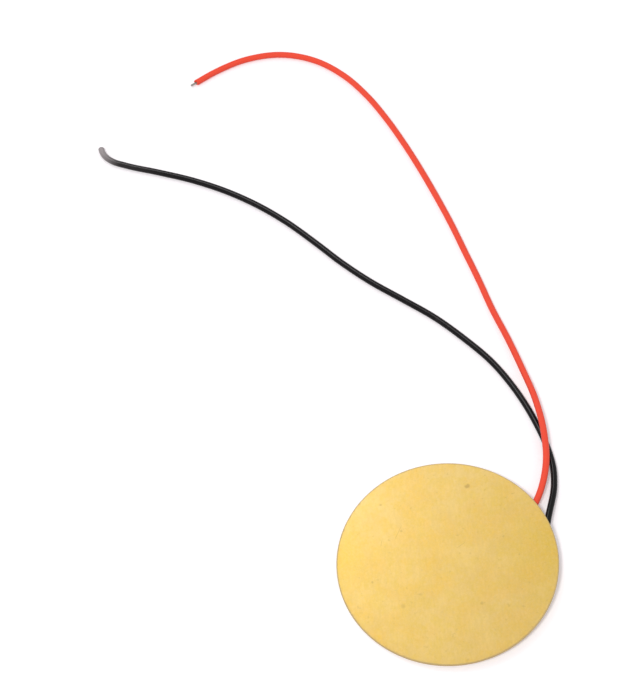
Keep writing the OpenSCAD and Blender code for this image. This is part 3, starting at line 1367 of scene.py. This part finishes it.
    def conductor(self, strands: TwistedStrands, finish: Finish) -> Piece:
        """Makes the bared strands, from inside the solder to inside the insulation.

        Args:
            strands: Maker of the strands.
            finish: Their material.

        Returns:
            The piece.
        """
        start = -self.embed_share * self.base_r
        length = self.reach - start + self.bore_l
        place = self.placed(np.array([start, 0.0, self.drop]))
        return strands.run(f"{self.name}_strands", place, self.lead_way(), length, finish)

    def build(self, strands: TwistedStrands, solder: Finish, tinned: Finish) -> None:
        """Makes and dresses the joint.

        Args:
            strands: Maker of the conductor.
            solder: Finish of the solder.
            tinned: Finish of the strands.
        """
        hand_over(self.cap(), solder, "solder", f"{self.name}_solder")
        hand_over(self.conductor(strands, tinned), tinned, "tinned_copper", f"{self.name}_conductor")


# Leads


@dataclass(frozen=True)
class Cut:
    """The shape of an end of the insulation, in millimetres.

    The lip is how far its rounding runs back, the slant is half of how far one side lies
    behind the other, and a closed end hides the bore.
    """

    lip: float
    slant: float = 0.0
    closed: bool = False


class CutStyle(Enum):
    """How the insulation ends."""

    STRIPPED = Cut(0.05)
    SLANTED = Cut(0.06, slant=0.12)
    WORN = Cut(0.3, closed=True)


@dataclass
class Lead:
    """One insulated lead, along a smooth curve through its route, with lengths in millimetres.

    Each point of the route is an X, a Y and the height of the insulation's underside above the table. The
    lead leaves its joint straight, and face_gap is what it clears of the face that it leaves along. An open
    end's bore is chamfered by bore_mouth, its depth and its width.
    """

    name: str
    start: np.ndarray
    way: np.ndarray
    route: tuple[Triple, ...]
    far_cut: CutStyle
    od: float = 0.84
    face_gap: float = 0.06
    bore_r: float = 0.155
    bore_l: float = 1.2
    bore_mouth: tuple[float, float] = (0.04, 0.03)
    straight: float = 0.8
    ring_pitch: float = 0.3
    curve_steps: int = 80
    heading_step: float = 0.15
    slant_run: float = 1.4
    sides: int = 32
    line: np.ndarray = field(init=False)
    along: np.ndarray = field(init=False)

    def __post_init__(self) -> None:
        """Follows the curve closely and measures it."""
        points = [self.start, self.start + self.straight * self.way]
        points += [np.array([x, y, clear + self.od / 2]) for x, y, clear in self.route]
        ways = [self.tangent(points, i) for i in range(len(points))]
        fine = []
        for i in range(len(points) - 1):
            chord = np.linalg.norm(points[i + 1] - points[i])
            for t in np.linspace(0.0, 1.0, self.curve_steps, endpoint=False):
                fine.append(
                    (2 * t**3 - 3 * t**2 + 1) * points[i]
                    + (t**3 - 2 * t**2 + t) * chord * ways[i]
                    + (3 * t**2 - 2 * t**3) * points[i + 1]
                    + (t**3 - t**2) * chord * ways[i + 1]
                )
        self.line = np.array([*fine, points[-1]])
        self.line[:, 2] = np.maximum(self.line[:, 2], self.od / 2)
        steps = np.linalg.norm(np.diff(self.line, axis=0), axis=1)
        self.along = np.concatenate([[0.0], np.cumsum(steps)])

    @staticmethod
    def tangent(points: list[np.ndarray], i: int) -> np.ndarray:
        """Finds the curve's direction at a point from the two chords that meet there.

        Args:
            points: The route's points.
            i: Which of them is meant.

        Returns:
            The direction, one long.
        """
        last = len(points) - 1
        before = points[max(i, 1)] - points[max(i, 1) - 1]
        after = points[min(i, last - 1) + 1] - points[min(i, last - 1)]
        ratio = np.linalg.norm(after) / np.linalg.norm(before)
        return unit(before * ratio + after / ratio)

    @property
    def length(self) -> float:
        """The lead's length in millimetres."""
        return float(self.along[-1])

    def place(self, at: np.ndarray) -> np.ndarray:
        """Points on the lead's middle line at these lengths from its start."""
        return np.stack([np.interp(at, self.along, self.line[:, k]) for k in range(3)], axis=-1)

    def ending(self, cut: CutStyle) -> list[tuple[float, float]]:
        """The rings of an end, from the bottom of its bore out to the full diameter.

        Args:
            cut: How the insulation ends.

        Returns:
            For each ring, how far back it lies from the end, and its radius.
        """
        lip, full = cut.value.lip, self.od / 2
        if cut.value.closed:
            turns = [math.radians(turn) for turn in range(10, 90, 10)]
            return [(lip * (1 - math.cos(turn)), full * math.sin(turn)) for turn in turns]
        bore = [(self.bore_l, self.bore_r), (self.bore_mouth[0], self.bore_r)]
        rings = [*bore, (0.0, self.bore_r + self.bore_mouth[1]), (0.0, full - lip)]
        for turn in (math.radians(25), math.radians(50), math.radians(75)):
            rings.append((lip * (1 - math.cos(turn)), full - lip * (1 - math.sin(turn))))
        return rings

    def depth(self, cut: CutStyle) -> float:
        """How far back from its face the bottom of an end's bore lies."""
        return 0.0 if cut.value.closed else self.bore_l

    def build_tube(self) -> Piece:
        """Makes the insulation, with a bore at each open end and the lead's run stored in each point.

        Returns:
            The piece.
        """
        full = self.od / 2
        near_lip, far_lip = CutStyle.STRIPPED.value.lip, self.far_cut.value.lip
        count = int(round((self.length - near_lip - far_lip) / self.ring_pitch))
        middle = [(at, full) for at in np.linspace(near_lip, self.length - far_lip, count + 1)]
        near = self.ending(CutStyle.STRIPPED)
        far = [(self.length - back, radius) for back, radius in reversed(self.ending(self.far_cut))]
        stations = np.array(near + middle + far)
        at, radius = stations[:, 0], stations[:, 1]
        centre = self.place(at)
        ahead = self.place(np.minimum(at + self.heading_step, self.length))
        ahead -= self.place(np.maximum(at - self.heading_step, 0.0))
        ahead /= np.linalg.norm(ahead, axis=1)[:, None]
        side = np.cross([0.0, 0.0, 1.0], ahead)
        side /= np.linalg.norm(side, axis=1)[:, None]
        up = np.cross(ahead, side)
        turn = np.linspace(0.0, 2 * math.pi, self.sides, endpoint=False)
        across = radius[:, None] * np.cos(turn)
        above = radius[:, None] * np.sin(turn)
        nearing = ease(1 - (self.length - at) / self.slant_run)
        back = self.far_cut.value.slant * (1 + across / full) * nearing[:, None]
        rings = centre[:, None] + across[..., None] * side[:, None] + above[..., None] * up[:, None]
        rings -= back[..., None] * ahead[:, None]
        ends = np.array([self.depth(CutStyle.STRIPPED), self.length - self.depth(self.far_cut)])
        poles = self.place(ends)
        tube = ring_piece(f"{self.name}_insulation", rings, poles[0], poles[1], 50.0)
        run = np.stack([at[:, None] - back, across, above], axis=-1).reshape(-1, 3)
        run = np.concatenate([run, [[end, 0.0, 0.0] for end in ends]])
        stored = tube.data.attributes.new("run", "FLOAT_VECTOR", "POINT")
        stored.data.foreach_set("vector", run.astype(np.float32).ravel())
        return tube

    @property
    def end(self) -> np.ndarray:
        """The middle of its far end."""
        return self.line[-1]

    @property
    def end_way(self) -> np.ndarray:
        """Direction in which the lead ends."""
        return unit(self.line[-1] - self.line[-2])

    def build(self, vinyl: Finish, slot: str, on_it: list[Piece]) -> Piece:
        """Args:
            vinyl: Finish of the insulation.
            slot: The record's material slot.
            on_it: Pieces that go with it; not used.

        Returns:
            The insulation.
        """
        tube = self.build_tube()
        hand_over(tube, vinyl, slot, f"{self.name}_lead")
        LOG.info("%s lead: %.2f mm long", self.name, self.length)
        return tube


RED_ROUTE = (
    (9.9, 5.7, 0.4), (11.4, 8.0, 0.6), (12.95, 12.8, 0.9), (13.1, 17.8, 0.95), (12.4, 22.7, 0.8),
    (11.1, 27.5, 0.45), (9.6, 32.3, 0.2), (7.9, 37.0, 0.05), (6.4, 41.8, 0.0), (4.8, 46.5, 0.0),
    (3.2, 51.2, 0.0), (1.4, 55.9, 0.0), (-0.5, 60.5, 0.0), (-2.6, 65.1, 0.0), (-4.8, 69.4, 0.0),
    (-7.5, 73.8, 0.0), (-10.7, 77.6, 0.0), (-14.8, 80.5, 0.0), (-19.5, 81.7, 0.0),
    (-24.4, 81.0, 0.0), (-28.9, 78.8, 0.0), (-31.8, 76.75, 0.0),
)
BLACK_ROUTE = (
    (12.7, 5.6, 0.65), (13.85, 10.4, 0.35), (13.95, 12.9, 0.2), (13.6, 15.4, 0.05), (12.1, 20.2, 0.0),
    (10.0, 24.7, 0.0), (7.3, 28.9, 0.0), (3.9, 32.6, 0.0), (0.2, 36.0, 0.0), (-3.8, 38.9, 0.0),
    (-7.9, 41.8, 0.0), (-11.7, 45.0, 0.0), (-15.3, 48.5, 0.0), (-19.0, 51.9, 0.0),
    (-23.0, 54.9, 0.0), (-27.3, 57.4, 0.0), (-31.9, 59.4, 0.0), (-36.6, 60.9, 0.0),
    (-41.4, 62.3, 0.0), (-43.1, 63.0, 0.0), (-44.3, 64.1, 0.0), (-44.7, 65.0, 0.0),
    (-44.8, 65.45, 0.0),
)
# The black lead's end is painted paler over these lengths, which is painted sheen.
PAINTED_SHEEN = (4.9, 0.25)  # where the black lead turns grey, in millimetres before its far end


def main() -> None:
    """Builds the studio and the object."""
    logging.basicConfig(level=logging.INFO, format="%(message)s")
    studio = Studio()
    studio.build()
    pose = DiscPose.from_record(frame["record"], PlatedDisc.plate_t)
    disc = PlatedDisc(pose)
    drop = Lead.od / 2 + Lead.face_gap
    signal = SolderJoint(
        "signal",
        pose,
        radius=disc.electrode_r - disc.signal_inset,
        angle=22.0,
        face_z=disc.signal_face_z,
        heading=42.0,
        base_r=1.15,
        height=1.05,
        drop=drop,
    )
    ground = SolderJoint(
        "ground",
        pose,
        radius=(disc.plate_r + disc.ceramic_r) / 2,
        angle=4.0,
        face_z=0.0,
        heading=80.0,
        base_r=1.1,
        height=0.9,
        drop=drop,
    )
    red = Lead("red", signal.lead_start(), signal.lead_way(), RED_ROUTE, CutStyle.SLANTED)
    black = Lead("black", ground.lead_start(), ground.lead_way(), BLACK_ROUTE, CutStyle.WORN)

    strands = TwistedStrands()
    tinned = TinnedCopper().build()
    on_red = strands.stub(red.end, red.end_way, tinned)
    red_tones = (Tone(240, 82, 60), Tone(233, 72, 52), Tone(234, 102, 82))
    red_vinyl = Vinyl("red_vinyl", *red_tones, roughness=0.42, gloss=0.14)
    red.build(red_vinyl.build(), "red_pvc", on_red)
    black_tones = (Tone(10, 7, 10), Tone(20, 17, 19), Tone(159, 152, 153))
    black_vinyl = Vinyl(
        "black_vinyl",
        *black_tones,
        roughness=0.22,
        gloss=0.13,
        painted_sheen_from=black.length - PAINTED_SHEEN[0],
        painted_sheen_to=black.length - PAINTED_SHEEN[1],
    )
    black_insulation = black.build(black_vinyl.build(), "black_pvc", [])
    studio.glint_on(black_insulation)

    brass = SatinBrass().build(pose.matrix, disc.plate_r, disc.plate_t, ground.middle)
    disc.build(brass, FiredSilver().build(pose.matrix, signal.middle))
    solder = BrightSolder().build()
    signal.build(strands, solder, tinned)
    ground.build(strands, solder, tinned)


if __name__ == "__main__":
    main()
